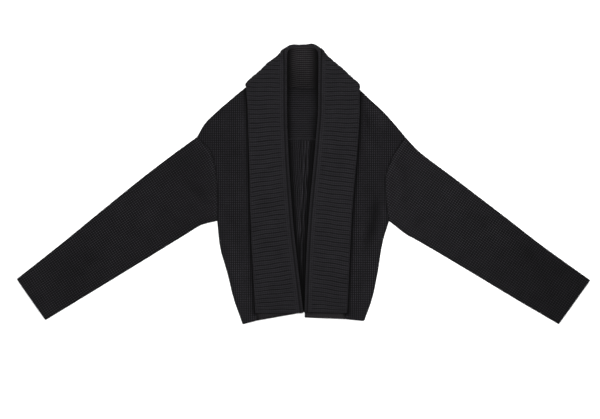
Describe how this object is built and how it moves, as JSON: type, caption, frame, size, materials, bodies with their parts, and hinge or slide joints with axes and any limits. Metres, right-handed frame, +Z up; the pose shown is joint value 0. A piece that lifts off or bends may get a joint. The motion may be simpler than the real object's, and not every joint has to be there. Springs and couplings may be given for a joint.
{
  "type": "cardigan",
  "caption": "Cropped open-fronted knitted cardigan laid flat on its back, with dropped sleeves and a broad ribbed shawl collar turned back over the fronts.",
  "frame": {"origin": "on the table, under the middle of the garment's outline seen from above", "axes": "+X to the right of the picture (the wearer's left sleeve), +Y from the hem to the neck, +Z up from the table to the viewer"},
  "size_m": [1.432, 0.7001, 0.0183],
  "materials": {
    "body_knit": "matt near-black knit with fine ribs",
    "collar_knit": "matt charcoal rib knit"
  },
  "bodies": {
    "root": {"lower_back": "body_knit", "back_yoke": "body_knit", "front_left": "body_knit", "front_right": "body_knit", "sleeve_left": "body_knit", "sleeve_right": "body_knit", "collar_stand": "collar_knit", "collar_fall": "collar_knit"}
  },
  "joints": []
}
